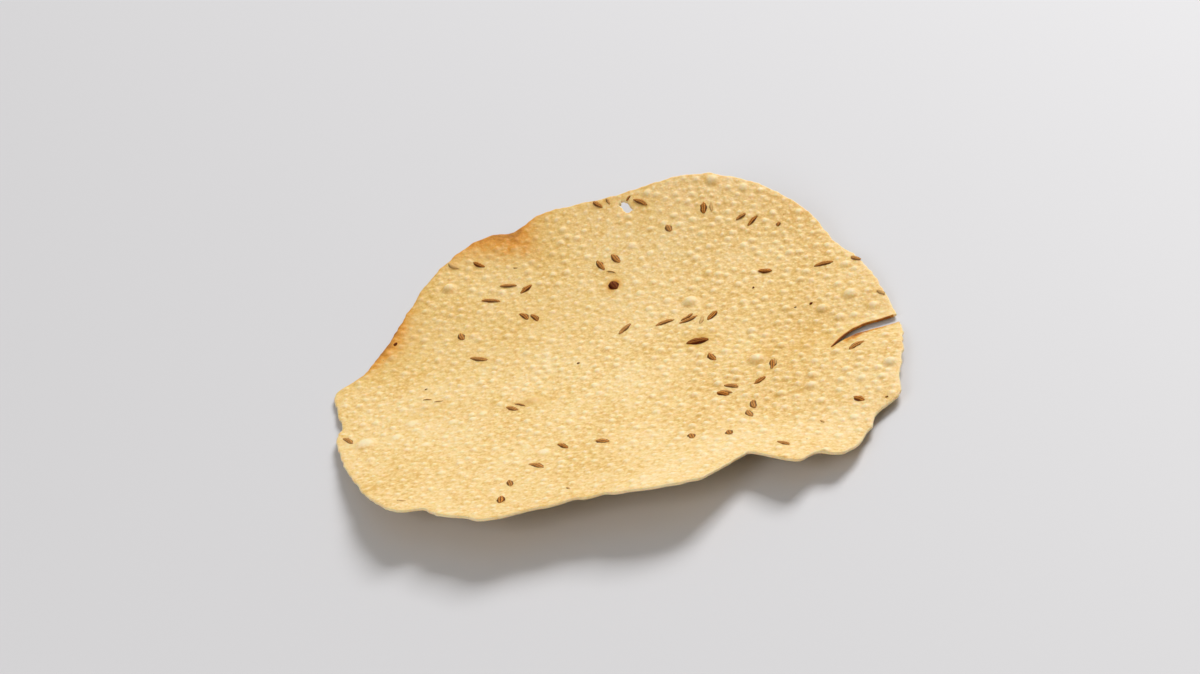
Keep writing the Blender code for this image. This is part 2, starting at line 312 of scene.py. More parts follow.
def facePlan(loops, facet, draw):
    # the face in plan: a slightly uneven triangular grid inside the loops
    farthest = max(np.hypot(*loop.T).max() for loop in loops)
    corners = [tuple(point) for loop in loops for point in loop]
    tree = treeOf(corners)
    rings, edges, first = [], [], 0
    for loop in loops:
        rings.append(list(range(first, first + len(loop))))
        edges += list(zip(rings[-1], rings[-1][1:] + rings[-1][:1]))
        first += len(loop)
    rowHeight = facet * math.sin(math.radians(60.0))
    rows, columns = math.ceil(farthest / rowHeight), math.ceil(farthest / facet)
    jitter = wafer["facetJitter"] * facet
    for row in range(-rows, rows + 1):
        for column in range(-columns, columns + 1):
            x = facet * (column + 0.5 * (row % 2)) + draw.uniform(-jitter, jitter)
            y = rowHeight * row + draw.uniform(-jitter, jitter)
            if math.hypot(x, y) > farthest or tree.find((x, y, 0.0))[2] < wafer["facetRoom"] * facet:
                continue
            if not insideLoop(x, y, loops[1]):
                corners.append((x, y))
    plan, _, triangles, sources, _, _ = delaunay_2d_cdt([Vector(c) for c in corners], edges, [], 1, 1e-6)
    if len(plan) != len(corners):
        print("papadum: the outline crosses itself,", len(plan) - len(corners), "points added")
    place = {source: index for index, group in enumerate(sources) for source in group}
    rings = [[place[corner] for corner in ring] for ring in rings]
    hole = set(rings[1])
    kept = []
    for triangle in triangles:
        middle = sum((plan[corner] for corner in triangle), Vector((0.0, 0.0))) / 3.0
        if not (hole.issuperset(triangle) and insideLoop(middle.x, middle.y, loops[1])):
            kept.append(triangle)
    used = sorted({corner for triangle in kept for corner in triangle})
    again = {corner: index for index, corner in enumerate(used)}
    plan = np.array([plan[corner] for corner in used])
    kept = [[again[corner] for corner in triangle] for triangle in kept]
    return plan, kept, [[again[corner] for corner in ring] for ring in rings]


# Where the dough puffed most, or stayed flat: x, y, width, how much
puffing = {
    "places": (
        (42, -22, 33, 0.7), (66, -48, 20, 0.05), (40, 68, 14, 0.3), (-45, 62, 16, 0.1),
        (20, 48, 24, -0.22), (-10, -62, 14, 0.15), (56, 32, 22, 0.28), (-66, 36, 16, 0.25)),
    "base": 0.25,
    "drift": 0.15,            # slow unevenness, and its size
    "driftSize": 22.0,
}


def puffAt(x, y):
    # 0 where the dough stayed calm and 1 where it puffed most
    puff = puffing["base"] + puffing["drift"] * ripples(x, y, puffing["driftSize"], "puffing")
    for px, py, width, more in puffing["places"]:
        puff = puff + more * bell(np.hypot(x - px, y - py), width)
    return np.clip(puff, 0.0, 1.0)


# Blisters that stand out, and the rule for the others of their size, as in the CAD
blisters = {
    "large": (                # x, y, radius, height; the last two have burst and are pits
        (39, -16, 3.1, 1.5), (74, -37, 2.6, 1.3), (71, 5, 2.8, 1.2), (62, 2, 2.2, 1.1),
        (26, 24, 2.8, 1.3), (-26, -8, 3.2, 0.6), (-75, -11, 3.8, 0.9), (43, 74, 2.4, 1.1),
        (-44, 62, 2.4, 1.2), (51, -38, 2.2, 1.0), (25, 3, 2.9, -0.5), (5, 42, 2.2, -0.5)),
    "low": (                  # soft pale ones on the left and in front, too low for the CAD
        (-49.5, -9.3, 1.7, 0.4), (-40.5, -8.6, 1.9, 0.4), (-25.5, -41.2, 2.7, 0.6),
        (-61, -5, 2.6, 0.35), (-66, -11, 2.2, 0.35), (-58, -20, 2.0, 0.3)),
    "count": 130,
    "radius": (1.5, 2.3),
    "gap": 1.0,
    "steepness": 0.48,
    "shown": 0.76,            # the CAD's even ones stand for somewhat smaller and steeper real ones
    "shownHeight": 0.85,
    "calmHeight": 0.5,        # share of their height where the dough stayed calm
    "softness": 1.25,         # 1 gives a dome with a crease round its foot
    "seedDip": 1.0,           # a blister is low this near to a seed
    "seedGap": 0.15,          # the small bubbles keep this far from seeds and from the rim
    "rimGap": 0.55,
    "hotHeading": 15.0,       # they grow larger this way
    "hotGrowth": 0.25,
    "edgeStep": 2.4,          # the CAD's own steps along the edge
    "edgeStepLeast": 0.8,
    "holeSides": 8,
    "seed": 7,
}


def cadEdgeHeadings():
    headings = []
    for at, depth, before, after in wafer["nicks"]:
        headings += [at, at - before, at + after]
    headings += [blisters["edgeStep"] * step for step in range(round(360.0 / blisters["edgeStep"]))]
    kept = []
    for heading in headings:
        if all(abs(turned(heading - other)) > blisters["edgeStepLeast"] for other in kept):
            kept.append(heading % 360.0)
    return sorted(kept)


def spreadBlisters():
    # the same draws in the same order as the CAD makes
    draw = random.Random(blisters["seed"])
    spread = list(blisters["large"])
    back, front = crackLips()
    gaps = [(x, y, 0.0) for x, y in back + front[:0:-1] + ellipseLoop(*wafer["hole"], blisters["holeSides"])]
    farthest = max(float(edgeRadius(heading)) for heading in cadEdgeHeadings())
    hotX, hotY = direction(blisters["hotHeading"])
    while len(spread) < blisters["count"] + len(blisters["large"]):
        reach, heading = farthest * math.sqrt(draw.random()), math.radians(draw.uniform(0.0, 360.0))
        x, y = reach * math.cos(heading), reach * math.sin(heading)
        growth = 1.0 + blisters["hotGrowth"] * (x * hotX + y * hotY) / wafer["radius"]
        radius = draw.uniform(*blisters["radius"]) * growth
        room = radius + blisters["gap"]
        inside = reach < edgeRadius(headingOf(x, y)) - room
        if inside and all(math.hypot(x - c[0], y - c[1]) > c[2] + room for c in spread + gaps):
            spread.append((x, y, radius, radius * blisters["steepness"]))
    spread = np.array(spread)
    even = spread[len(blisters["large"]):]
    even[:, 2] *= blisters["shown"]
    calm = blisters["calmHeight"]
    even[:, 3] *= blisters["shownHeight"] * (calm + (1.0 - calm) * puffAt(*even[:, :2].T))
    return np.concatenate((spread, blisters["low"]))


# Cumin seeds and what else is baked into the upper face
seeds = {
    "length": 4.9,
    "width": 2.3,
    "height": 0.9,
    "proud": 0.12,            # how far a seed's middle stands over the dough's face
    "widthShare": (0.8, 1.1), # how much the widths vary
    "collar": 0.12,           # the dough stands up this much round a seed, within this reach
    "collarReach": 0.7,
    "collarRoom": 1.0,        # but not this near to the rim
    "places": (               # x, y, heading, share of the length
        (3, 53, 105, 1.1), (8, 54, 108, 1.0), (20, 75, 130, 1.1), (7, 81, 120, 0.9),
        (38, 64, 80, 1.0), (48, 56, 30, 0.8), (51, 53, 42, 1.0), (26, 60, 100, 0.7),
        (50, 29, 155, 0.9), (67, 24, 175, 1.2), (77, 22, 125, 0.8), (5, 19, 45, 1.1),
        (17, 17, 8, 1.2), (24, 15, 16, 1.2), (31, 14, 48, 1.0), (27, -8, 105, 1.0),
        (43, -21, 80, 1.0), (30, -27, 140, 0.9), (27, -30, 135, 0.8), (38, -28, 35, 0.9),
        (34, -40, 86, 1.0), (32, -45, 100, 0.9), (15, -52, 98, 0.7), (25, -55, 95, 0.6),
        (62, -51, 125, 0.8), (38, -68, 130, 0.9), (67, -23, 28, 1.1), (-9, -43, 140, 0.9),
        (-20, -40, 120, 1.0), (-28, -49, 130, 1.2), (-36, -57, 92, 0.9), (-39, -67, 86, 0.9),
        (-32, -10, 135, 0.9), (-80, -7, 120, 1.0), (-39, 23, 145, 1.2), (-43, 37, 100, 0.8),
        (-23, 39, 115, 0.9), (-20, 37, 110, 0.9), (-32, 51, 155, 1.2), (-26, 56, 160, 1.1),
        (-21, 52, 32, 0.9), (-33.5, 69.5, 130, 1.0)),
    "broken": (               # husks and crumbs: x, y, heading, length, width, height, roast, burnt over 1
        (24.6, 2.7, -8, 6.6, 3.4, 1.0, 1.3), (5.3, 41.9, 100, 4.4, 3.4, 1.0, 1.5),
        (27.6, 13.2, 70, 4.0, 1.3, 0.5, 0.15), (40.3, 63.6, 84, 4.0, 1.3, 0.5, 0.25),
        (23.7, 16.4, 28, 4.4, 1.3, 0.9, 0.85), (28, -29.5, 136, 4.0, 1.3, 0.9, 0.7),
        (43.9, -20.2, 80, 3.6, 0.8, 0.6, 0.4), (-29.5, -8.7, 135, 4.0, 0.8, 0.7, 0.8),
        (5.7, 48.6, -40, 3.2, 0.7, 0.5, 0.6), (16.5, 78.3, 45, 2.2, 0.9, 0.8, 0.9),
        (10.5, 81.6, 100, 3.0, 1.1, 0.7, 0.6), (79.8, 1.2, 120, 3.2, 1.6, 0.8, 0.35),
        (59.4, 5.7, 20, 1.1, 0.8, 0.8, 1.5), (45, 22.3, 60, 0.9, 0.7, 0.7, 1.5),
        (54.7, 6.3, 10, 0.8, 0.6, 0.6, 1.5), (58.3, 48.4, 70, 2.0, 1.4, 0.8, 0.9),
        (-55.8, 12.9, 30, 1.0, 0.7, 0.6, 1.4), (-10.6, 6.9, 0, 0.9, 0.7, 0.6, 1.4),
        (69.3, -53.6, 40, 1.0, 0.8, 0.6, 0.9), (-63.1, 42.2, 60, 1.6, 1.2, 0.8, 1.5),
        (-55.8, 6.9, 160, 2.6, 0.5, 0.5, 0.7), (-52.6, 4.4, 170, 2.8, 0.5, 0.5, 0.6),
        (-41.3, 71.7, 128, 4.8, 2.0, 0.9, 0.3), (-22.6, 63.3, 150, 2.2, 0.8, 0.6, 0.5),
        (-20.8, -69.6, 110, 2.0, 0.9, 0.6, 0.4), (-65.8, -55.5, 150, 3.0, 0.6, 0.4, 0.35),
        (50.4, -58.3, 120, 2.0, 1.0, 0.6, 0.3)),
    "edgeRoom": 0.9,          # the tips keep this far from the edge, moving in by this share of the way
    "edgeStep": 0.004,
    "bend": 0.35,
    "ridges": 6,
    "ridgeDepth": 0.16,
    "stations": 13,
    "blunt": 0.28,            # girth left at the tips
    "dent": 0.5,              # how far dents push the husk, and how large they are
    "dentSize": 1.5,
    "roast": (0.74, 1.0),
    "seed": 11,
}


def seedRows():
    # x, y, heading, length, width, height and roast of everything baked in
    draw = random.Random(seeds["seed"])
    rows = []
    for x, y, heading, share in seeds["places"]:
        wide = seeds["width"] * draw.uniform(*seeds["widthShare"])
        roast = draw.uniform(*seeds["roast"])
        rows.append([x, y, heading, share * seeds["length"], wide, seeds["height"], roast])
    rows += [list(row) for row in seeds["broken"]]
    for row in rows:
        # those at the edge move in until their tips are over the dough
        dx, dy = (0.5 * row[3] * part for part in direction(row[2]))
        while any(math.hypot(x, y) > float(edgeRadius(headingOf(x, y))) - seeds["edgeRoom"]
                  for x, y in ((row[0] - dx, row[1] - dy), (row[0] + dx, row[1] + dy))):
            row[0], row[1] = (1.0 - seeds["edgeStep"]) * row[0], (1.0 - seeds["edgeStep"]) * row[1]
    return np.array(rows, float)


# Browned places, by how strongly: straw from 0.22, toasted at 0.6 and burnt at 1; two of them are partly
# painted shade
toast = {
    "places": (               # x, y, radius along and across, heading, strength
        # (60, -2) is a golden tone and painted shade on the right end's slope; (66, -14) is painted shade
        # where the back lip curves down at the crack's tip
        (60, -2, 34, 26, 20, 0.09), (2, 32, 28, 16, 0, 0.1), (40, 60, 40, 22, -30, 0.08),
        (-10, 66, 30, 14, 8, 0.07), (66, -14, 11, 5, 15, 0.07), (-46, 50, 34, 20, 50, 0.11),
        (-30, 30, 34, 16, 30, 0.09), (-17, 68, 12, 7, -30, 0.18), (-25, 75, 13, 6, 12, 0.15),
        (74, -15, 8, 1.2, 6, 0.75), (67, -17.4, 4, 1.6, 30, 0.7), (-58, 0, 6, 4, 0, 0.2),
        (-26, -8.2, 3.6, 3.0, 0, 0.42), (5.3, 41.9, 3.2, 2.6, 60, 0.7), (24.6, 2.7, 4.6, 3.2, 0, 0.5),
        (20, 74, 6, 5, 0, 0.14), (6, 80, 5, 3, 0, 0.2)),
    "rims": (                 # browned stretches of the rim: heading, half-width, strength, how far in
        (127, 32, 0.22, 2.4), (107, 12, 0.62, 8.0), (148, 14, 0.68, 7.5), (0, 360, 0.03, 2.4)),
    "crackWallsBrownAndShade": 0.95,       # the torn walls of the crack: brown, and dark as painted shade inside the crack
    "crackReach": 4.0,
    "crackStart": 1.5,        # from this far inside the rim
}


def toastAt(x, y, wall):
    brown = 0.0 * x
    for tx, ty, long, wide, heading, strength in toast["places"]:
        c, s = direction(heading)
        along, across = (x - tx) * c + (y - ty) * s, (y - ty) * c - (x - tx) * s
        brown = brown + strength * np.exp(-(along / long) ** 2 - (across / wide) ** 2)
    heading = np.degrees(np.arctan2(y, x))
    rim = np.hypot(x, y) - edgeRadius(heading)
    for at, width, strength, depth in toast["rims"]:
        brown = brown + strength * bell(turned(heading - at), width) * np.exp(np.minimum(rim, 0.0) / depth)
    # the crack's torn walls: brown, and darker as painted shade inside the crack
    torn = np.abs(y - np.interp(x, crackPlaces, crackMiddles)) < toast["crackReach"]
    torn = wall & torn & (x > crackPlaces[0]) & (rim < -toast["crackStart"])
    return np.clip(np.where(torn, toast["crackWallsBrownAndShade"], brown), 0.0, 1.0)


def seedRoom(x, y, rows):
    # distance from each point to the nearest seed's outline, below zero inside it
    nearest = np.full(x.shape, np.inf)
    for sx, sy, heading, length, width, height, roast in rows:
        c, s = direction(heading)
        reach = max(0.0, length - width) / 2.0
        along = np.clip((x - sx) * c + (y - sy) * s, -reach, reach)
        away = np.hypot(x - sx - along * c, y - sy - along * s) - width / 2.0
        nearest = np.minimum(nearest, away)
    return nearest


def swellAt(x, y, spread, lineRoom):
    # height of the listed blisters, lower near a seed, how near each point is to a top, and the room left
    swell, crown, room = 0.0 * x, 0.0 * x, np.full(x.shape, np.inf)
    beside = 1.0 - bell(np.maximum(lineRoom, 0.0), blisters["seedDip"])
    for bx, by, radius, height in spread:
        away = np.hypot(x - bx, y - by) / radius
        dome = np.maximum(0.0, 1.0 - away ** 2) ** blisters["softness"]
        swell = swell + height * dome * np.where(height > 0.0, beside, 1.0)
        # closeness to a top, which makes the tops paler: partly the thin film's own colour, partly painted
        # highlight
        crown = np.maximum(crown, dome * (height > 0.0))
        room = np.minimum(room, (away - 1.0) * radius)
    return swell, crown, room


def waferMesh(spread, rows):
    # both faces and the round rim between them, bent but not yet blistered
    draw = random.Random(blisters["seed"])
    loops = (outlineLoop(), raggedHole())
    half = wafer["thickness"] / 2.0
    depth = half * wafer["roundDepth"]
    inner = [inset(loop, depth) for loop in loops]
    upper, upperFaces, upperRims = facePlan(inner, wafer["upperFacet"], draw)
    lower, lowerFaces, lowerRims = facePlan(inner, wafer["lowerFacet"], draw)
    plan = [upper, lower]
    lift = [np.full(len(upper), half), np.full(len(lower), -half)]
    side = [np.ones(len(upper)), -np.ones(len(lower))]
    start = len(upper) + len(lower)
    faces = [tuple(face) for face in upperFaces]
    faces += [tuple(len(upper) + corner for corner in face[::-1]) for face in lowerFaces]
    for loop, top, bottom in zip(loops, upperRims, lowerRims):
        rings = [top]
        for step in range(1, wafer["roundSteps"]):
            angle = math.pi * step / wafer["roundSteps"]
            ring = inset(loop, depth * (1.0 - math.sin(angle)))
            plan.append(ring)
            lift.append(np.full(len(ring), half * math.cos(angle)))
            side.append(np.zeros(len(ring)))
            rings.append(list(range(start, start + len(ring))))
            start += len(ring)
        rings.append([len(upper) + corner for corner in bottom])
        for near, far in zip(rings, rings[1:]):
            for k in range(len(near)):
                after = (k + 1) % len(near)
                faces.append((near[after], near[k], far[k], far[after]))
    plan, lift, side = np.concatenate(plan), np.concatenate(lift), np.concatenate(side)
    x, y = plan.T
    z = bedHeight(x, y) + half + lift
    z[side < 0.5] = np.maximum(z[side < 0.5], 0.0)
    mesh = bpy.data.meshes.new("wafer")
    mesh.from_pydata((np.stack([x, y, z], axis=1) * mm).tolist(), [], faces)
    lineRoom = seedRoom(x, y, rows)
    swell, crown, room = swellAt(x, y, spread, lineRoom)
    swell[side == 0.0] = 0.0
    tree = treeOf(np.concatenate(loops))
    rimRoom = np.array([tree.find((a, b, 0.0))[2] for a, b in plan])
    # a little dough stands up round each seed
    collar = seeds["collar"] * bell(np.maximum(lineRoom, 0.0), seeds["collarReach"])
    swell += np.where(side > 0.0, collar, 0.0) * (rimRoom > seeds["collarRoom"])
    room = np.minimum(np.minimum(room, lineRoom - blisters["seedGap"]), rimRoom - blisters["rimGap"])
    storeValues(mesh, {"side": side, "swell": swell * mm, "crown": crown, "room": room * mm,
                       "coarse": puffAt(x, y), "toast": toastAt(x, y, side == 0.0)})
    mesh.shade_smooth()
    return mesh


# The small bubbles that cover the faces between the large blisters, in three sizes
bubbles = {
    "Bubble Spacing": 2.9,
    "Bubble Least Radius": 0.85,
    "Bubble Most Radius": 1.8,
    "Bubble Steepness": 0.52,  # height for each unit of radius
    "Bubble Hot Share": 1.0,   # share of them left where the dough puffed most
    # the tops' paleness is partly the thin film's own colour and partly painted highlight
    "Bubble Paleness": 1.0,    # how pale their tops are
    "Bead Spacing": 1.7,
    "Bead Least Radius": 0.7,
    "Bead Most Radius": 1.3,
    "Bead Steepness": 0.46,
    "Bead Hot Share": 0.4,
    "Bead Paleness": 0.75,
    "Pimple Spacing": 1.2,
    "Pimple Least Radius": 0.5,
    "Pimple Most Radius": 0.8,
    "Pimple Steepness": 0.36,
    "Pimple Hot Share": 0.35,
    "Pimple Paleness": 0.5,
    "Crowding": 8.0,          # places tried in each square of the spacing
    "Rarity": 1.8,            # 1 gives as many large ones as small ones, and more gives fewer
    "Squeezed": 0.4,          # those with less room than this share of the least radius are left out
    "Elbow Room": 0.62,       # radius for each unit of distance to the nearest neighbour, at most
    "Softness": 1.12,         # 1 gives a dome with a crease round its foot
    "Calm Height": 0.55,      # their share of height and of size where the dough stayed calm
    "Calm Size": 0.8,
    "Wobble": 0.25,           # how far their outlines stray from circles
    "Wobble Size": 2.4,
    "Under Share": 0.6,       # how far a bubble shows on the underside
    "Seed": 5,
}


def newTree(name, kinds):
    # a tree from geometry to geometry with these inputs, and what adds nodes to it
    tree = bpy.data.node_groups.new(name, "GeometryNodeTree")
    for socket, kind in {"Geometry": "Geometry", **kinds}.items():
        tree.interface.new_socket(socket, in_out="INPUT", socket_type="NodeSocket" + kind)
    tree.interface.new_socket("Geometry", in_out="OUTPUT", socket_type="NodeSocketGeometry")
    return tree, tree.nodes.new("NodeGroupInput").outputs, partial(addNode, tree)


def stored(add, names):
    # the values kept at the points under these names
    return {name: add("GeometryNodeInputNamedAttribute", {"Name": name}) for name in names}


def straying(add, place, often, far):
    # a smooth random push this far at most, changing this often along the way
    push = add("ShaderNodeTexNoise", {"Vector": place, "Scale": often, "Detail": 1.0}, out=1)
    push = add(vectorNode, {0: push, 1: (0.5, 0.5, 0.5)}, operation="SUBTRACT")
    return add(vectorNode, {0: push, "Scale": far}, operation="SCALE")


def bubbleTree():
    # scatters points on the upper face and swells both faces into a dome at each of them
    kinds = {name: "Int" if isinstance(value, int) else "Float" for name, value in bubbles.items()}
    tree, given, add = newTree("fryBubbles", {**kinds, "Dough": "Material"})
    at = stored(add, ("side", "swell", "crown", "room", "coarse", "radius", "puff"))
    here = add("GeometryNodeInputPosition")
    flat = (1.0, 1.0, 0.0)
    plan = add(vectorNode, {0: here, 1: flat}, operation="MULTIPLY")
    onTop = add("FunctionNodeCompare", {0: at["side"], 1: 0.5}, operation="GREATER_THAN")
    # size and height grow with the coarseness of the dough
    growth = add(rangeNode, {0: at["coarse"], 3: given["Calm Size"], 4: 1.0})
    lift = add(rangeNode, {0: at["coarse"], 3: given["Calm Height"], 4: 1.0})
    # the outlines stray from circles
    often = add(mathNode, {0: 1.0, 1: given["Wobble Size"]}, operation="DIVIDE")
    stray = straying(add, plan, often, given["Wobble"])
    stray = add(vectorNode, {0: stray, 1: flat}, operation="MULTIPLY")
    strayed = add(vectorNode, {0: plan, 1: stray}, operation="ADD")
    body, swell, crown, free = given["Geometry"], at["swell"], at["crown"], at["room"]
    for order, size in enumerate(("Bubble", "Bead", "Pimple")):
        draw = add(mathNode, {0: given["Seed"], 1: float(order)}, operation="ADD")
        density = add(mathNode, {0: given[size + " Spacing"], 1: -2.0}, operation="POWER")
        density = add(mathNode, {0: density, 1: given["Crowding"]}, operation="MULTIPLY")
        thinned = add(rangeNode, {0: at["coarse"], 3: 1.0, 4: given[size + " Hot Share"]})
        points = add("GeometryNodeDistributePointsOnFaces",
                     {"Mesh": body, "Selection": onTop, "Distance Min": given[size + " Spacing"],
                      "Density Max": density, "Density Factor": thinned, "Seed": draw},
                     distribute_method="POISSON")
        points = add("GeometryNodeSetPosition", {"Geometry": points, "Position": plan})
        # few of them are large, and none reaches past its room
        radius = add("FunctionNodeRandomValue", {2: 0.0, 3: 1.0, "Seed": draw}, out=1)
        radius = add(mathNode, {0: radius, 1: given["Rarity"]}, operation="POWER")
        radius = add(rangeNode,
                     {0: radius, 3: given[size + " Least Radius"], 4: given[size + " Most Radius"]})
        radius = add(mathNode, {0: radius, 1: growth}, operation="MULTIPLY")
        neighbour = add("GeometryNodeIndexOfNearest")
        beside = add("GeometryNodeSampleIndex", {"Geometry": points, "Value": here, "Index": neighbour},
                     data_type="FLOAT_VECTOR")
        apart = add(vectorNode, {0: here, 1: beside}, out=1, operation="DISTANCE")
        elbow = add(mathNode, {0: apart, 1: given["Elbow Room"]}, operation="MULTIPLY")
        for most in (elbow, free):
            radius = add(mathNode, {0: radius, 1: most}, operation="MINIMUM")
        points = add("GeometryNodeStoreNamedAttribute",
                     {"Geometry": points, "Name": "radius", "Value": radius})
        least = add(mathNode, {0: given[size + " Least Radius"], 1: given["Squeezed"]}, operation="MULTIPLY")
        squeezed = add("FunctionNodeCompare", {0: at["radius"], 1: least}, operation="LESS_THAN")
        points = add("GeometryNodeDeleteGeometry", {"Geometry": points, "Selection": squeezed})
        nearest = add("GeometryNodeSampleNearest", {"Geometry": points, "Sample Position": strayed})
        centre = add("GeometryNodeSampleIndex", {"Geometry": points, "Value": here, "Index": nearest},
                     data_type="FLOAT_VECTOR")
        reach = add("GeometryNodeSampleIndex", {"Geometry": points, "Value": at["radius"], "Index": nearest})
        away = add(vectorNode, {0: strayed, 1: centre}, out=1, operation="DISTANCE")
        # the next size finds its room outside these
        taken = add(mathNode, {0: away, 1: reach}, operation="SUBTRACT")
        free = add(mathNode, {0: at["room"], 1: taken}, operation="MINIMUM")
        share = add(mathNode, {0: away, 1: reach}, operation="DIVIDE")
        square = add(mathNode, {0: share, 1: share}, operation="MULTIPLY")
        dome = add(mathNode, {0: 1.0, 1: square}, operation="SUBTRACT", use_clamp=True)
        dome = add(mathNode, {0: dome, 1: given["Softness"]}, operation="POWER")
        # paler tops: the thin film's own colour and a painted highlight
        top = add(mathNode, {0: dome, 1: given[size + " Paleness"]}, operation="MULTIPLY")
        crown = add(mathNode, {0: crown, 1: top}, operation="MAXIMUM")
        tall = add(mathNode, {0: reach, 1: given[size + " Steepness"]}, operation="MULTIPLY")
        for factor in (lift, dome):
            tall = add(mathNode, {0: tall, 1: factor}, operation="MULTIPLY")
        swell = add(mathNode, {0: swell, 1: tall}, operation="ADD")
    # the paler tops, partly painted highlight, go to the material as top
    for name, value in (("puff", swell), ("top", crown)):
        body = add("GeometryNodeStoreNamedAttribute", {"Geometry": body, "Name": name, "Value": value})
    # bubbles show on the underside too, and pits don't
    under = add(mathNode, {0: at["puff"], 1: 0.0}, operation="MAXIMUM")
    for factor in (given["Under Share"], -1.0):
        under = add(mathNode, {0: under, 1: factor}, operation="MULTIPLY")
    rise = add("GeometryNodeSwitch", {"Switch": onTop, "False": under, "True": at["puff"]},
               input_type="FLOAT")
    offset = add("ShaderNodeCombineXYZ", {"Z": rise})
    body = add("GeometryNodeSetPosition", {"Geometry": body, "Offset": offset})
    # nothing goes through the plane it rests on
    floored = add(vectorNode, {0: here, 1: (-1.0, -1.0, 0.0)}, operation="MAXIMUM")
    body = add("GeometryNodeSetPosition", {"Geometry": body, "Position": floored})
    body = add("GeometryNodeRealizeInstances", {"Geometry": body})
    body = add("GeometryNodeSetMaterial", {"Geometry": body, "Material": given["Dough"]})
    add("NodeGroupOutput", {"Geometry": body})
    return tree


def applyTree(piece, tree, values):
    # sets the tree's named inputs, then keeps the evaluated result as a plain mesh
    modifier = piece.modifiers.new(tree.name, "NODES")
    modifier.node_group = tree
    for socket in tree.interface.items_tree:
        if socket.in_out == "INPUT" and socket.name in values:
            modifier[socket.identifier] = values[socket.name]
    piece.data = bpy.data.meshes.new_from_object(piece.evaluated_get(bpy.context.evaluated_depsgraph_get()))
    piece.modifiers.remove(modifier)
    piece.data.calc_loop_triangles()
    print("papadum:", piece.name, "made,", len(piece.data.loop_triangles), "triangles")


def seedPoints(rows, spread):
    # one point for each seed, lying along the sheet
    draw = random.Random(seeds["seed"])
    points = []
    columns = {name: [] for name in ("heading", "pitch", "length", "width", "height", "roast", "bend")}
    for x, y, heading, length, width, height, roast in rows:
        dx, dy = (0.5 * length * part for part in direction(heading))
        px, py = np.array([x, x - dx, x + dx]), np.array([y, y - dy, y + dy])
        tops = bedHeight(px, py) + wafer["thickness"] + swellAt(px, py, spread, 0.0 * px)[0]
        points.append((x * mm, y * mm, (max(tops[0], (tops[1] + tops[2]) / 2.0) + seeds["proud"]) * mm))
        pitch = -math.atan2(tops[2] - tops[1], length)
        bend = draw.uniform(-1.0, 1.0) * seeds["bend"] * mm * length / seeds["length"]
        values = (math.radians(heading), pitch, length * mm, width * mm, height * mm, roast, bend)
        for name, value in zip(columns, values):
            columns[name].append(value)
    mesh = bpy.data.meshes.new("seedPoints")
    mesh.from_pydata(points, [], [])
    storeValues(mesh, columns)
    return mesh


